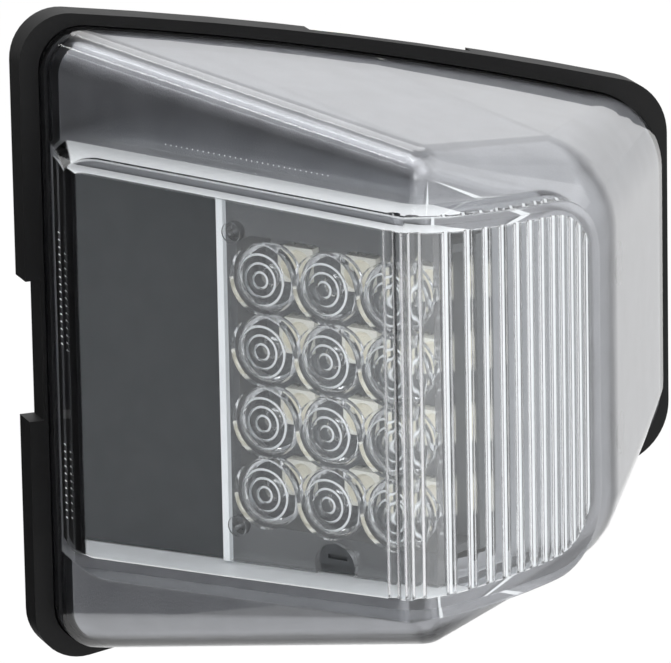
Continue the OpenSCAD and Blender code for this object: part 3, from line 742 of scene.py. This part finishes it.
def make_lens():
    """The clear lens, smooth over its rounded walls, with a white painted highlight on its flutes and on
    its window's upper and lower walls.
    """
    lens = smooth_copy("outer_lens", "lens_moulding", "polycarbonate", MOULDING_EDGE)
    paint(lens, "shell", is_shell_lining)
    # Painted highlight: flute faces and the window's inner upper and lower walls get matt white for the
    # light refracted there
    paint(lens, "painted_highlight", lambda m, n: is_flute(m, n) or is_window_side(m, n))
    return lens


def make_bezel():
    """The satin bezel under the lens."""
    return smooth_copy("bezel", "bezel_moulding", "silvering", MOULDING_EDGE)


def make_optics():
    """The optic plate, its carrier and the board behind it."""
    plate = smooth_copy("optic_plate", "collimator_plate", "acrylic", MOULDING_EDGE)
    start = min(v.co.dot(SLOPE_DIR) for v in plate.data.vertices)
    band = start + PLATE_BAND
    work = bmesh.new()
    work.from_mesh(plate.data)
    geometry = work.verts[:] + work.edges[:] + work.faces[:]
    bmesh.ops.bisect_plane(work, geom=geometry, plane_co=SLOPE_DIR * band, plane_no=SLOPE_DIR)
    work.to_mesh(plate.data)
    work.free()
    # Painted highlight: the plate's edge band and its sloped ring faces get matt white for the light caught
    # in them
    paint(plate, "painted_highlight", lambda m, n: m.dot(SLOPE_DIR) < band or 0.3 < n.dot(SLOPE_OUT) < 0.97)
    dress("optic_carrier", "carrier")
    dress("circuit_board", "board")


def make_led(i):
    """One LED package: cream body, tinned leads and the clear gel in its cup."""
    led = smooth_copy(f"led_{i}", f"led_package_{i}", "led", SMALL_EDGE)
    middle = centre_of(f"led_{i}")
    low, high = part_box(f"led_{i}")
    reach = (high.z - low.z) / 2

    def in_cup(m, n):
        sunk = n.dot(SLOPE_OUT) > 0.1 and (m - middle).dot(SLOPE_OUT) < LED_RISE / 2 - 0.05 * MM
        return sunk and abs(m.z - middle.z) < reach - CUP_RIM

    paint(led, "tin", lambda m, n: abs(m.z - middle.z) > reach - LEAD_REACH)
    paint(led, "gel", in_cup)
    return led


def make_electronics():
    """LEDs, resistors, driver and the parts on the back of the board."""
    for i in range(1, LED_COUNT + 1):
        make_led(i)
    for i in range(1, RESISTOR_COUNT + 1):
        dress(f"resistor_{i}", "epoxy")
    for node, finish in (
        ("driver_chip", "epoxy"),
        ("diode", "epoxy"),
        ("capacitor", "can"),
        ("board_screws", "zinc"),
        ("jumper_leads", "wire"),
    ):
        dress(node, finish)


def make_housing():
    """The housing with its socket, seal, vent, inserts and terminals."""
    smooth_copy("housing", "housing_moulding", "housing", MOULDING_EDGE)
    dress("threaded_inserts", "brass")
    dress("terminals", "tin")
    dress("connector_seal", "silicone")
    dress("breather_vent", "housing")


def make_gasket():
    """The rubber gasket."""
    return smooth_copy("gasket", "gasket_moulding", "rubber", MOULDING_EDGE)


def make_clips():
    """The two nylon clips."""
    smooth_copy("clip_top", "clip_upper", "nylon", SMALL_EDGE)
    smooth_copy("clip_bottom", "clip_lower", "nylon", SMALL_EDGE)


class LampStep(bpy.types.Operator):
    """One step of the lamp's making."""

    bl_options = {"REGISTER", "UNDO"}


class LAMP_OT_lens(LampStep):
    """Adds the clear lens."""

    bl_idname = "lamp.lens"
    bl_label = "Lens"

    def execute(self, context):
        make_lens()
        return {"FINISHED"}


class LAMP_OT_bezel(LampStep):
    """Adds the satin bezel."""

    bl_idname = "lamp.bezel"
    bl_label = "Bezel"

    def execute(self, context):
        make_bezel()
        return {"FINISHED"}


class LAMP_OT_optics(LampStep):
    """Adds the optic plate, the carrier and the board."""

    bl_idname = "lamp.optics"
    bl_label = "Optics"

    def execute(self, context):
        make_optics()
        return {"FINISHED"}


class LAMP_OT_electronics(LampStep):
    """Adds the LEDs and the other parts on the board."""

    bl_idname = "lamp.electronics"
    bl_label = "Electronics"

    def execute(self, context):
        make_electronics()
        return {"FINISHED"}


class LAMP_OT_housing(LampStep):
    """Adds the housing and what it holds."""

    bl_idname = "lamp.housing"
    bl_label = "Housing"

    def execute(self, context):
        make_housing()
        return {"FINISHED"}


class LAMP_OT_gasket(LampStep):
    """Adds the rubber gasket."""

    bl_idname = "lamp.gasket"
    bl_label = "Gasket"

    def execute(self, context):
        make_gasket()
        return {"FINISHED"}


class LAMP_OT_clips(LampStep):
    """Adds the two nylon clips."""

    bl_idname = "lamp.clips"
    bl_label = "Clips"

    def execute(self, context):
        make_clips()
        return {"FINISHED"}


class LAMP_OT_repeats(LampStep):
    """Adds serrations, dots, threads and marks."""

    bl_idname = "lamp.repeats"
    bl_label = "Repeats"

    def execute(self, context):
        make_repeats()
        return {"FINISHED"}


class LAMP_OT_stage(LampStep):
    """Adds the floor, the lamps and the camera."""

    bl_idname = "lamp.stage"
    bl_label = "Stage"

    def execute(self, context):
        make_stage()
        return {"FINISHED"}


STEPS = (
    LAMP_OT_stage,
    LAMP_OT_lens,
    LAMP_OT_bezel,
    LAMP_OT_optics,
    LAMP_OT_electronics,
    LAMP_OT_housing,
    LAMP_OT_gasket,
    LAMP_OT_clips,
    LAMP_OT_repeats,
)


class LAMP_PT_panel(bpy.types.Panel):
    """Lists the steps of the lamp."""

    bl_label = "Side repeater lamp"
    bl_space_type = "VIEW_3D"
    bl_region_type = "UI"
    bl_category = "Lamp"

    def draw(self, context):
        for step in STEPS:
            self.layout.operator(step.bl_idname)
        for group in (context.scene.lamp_colours, context.scene.lamp_sizes):
            for key in group.bl_rna.properties.keys():
                if key not in ("rna_type", "name"):
                    self.layout.prop(group, key)


CLASSES = (LampColours, LampSizes, *STEPS, LAMP_PT_panel)


def register():
    """Registers the classes and the scene's settings."""
    for cls in CLASSES:
        bpy.utils.register_class(cls)
    bpy.types.Scene.lamp_colours = bpy.props.PointerProperty(type=LampColours)
    bpy.types.Scene.lamp_sizes = bpy.props.PointerProperty(type=LampSizes)


def unregister():
    """Removes the settings and the classes."""
    del bpy.types.Scene.lamp_sizes
    del bpy.types.Scene.lamp_colours
    for cls in reversed(CLASSES):
        bpy.utils.unregister_class(cls)


def main():
    """Makes the whole lamp."""
    register()
    bpy.context.scene.view_settings.view_transform = "Standard"
    for step in STEPS:
        group, name = step.bl_idname.split(".")
        getattr(getattr(bpy.ops, group), name)()
    bpy.context.view_layer.update()


if __name__ == "__main__":
    main()
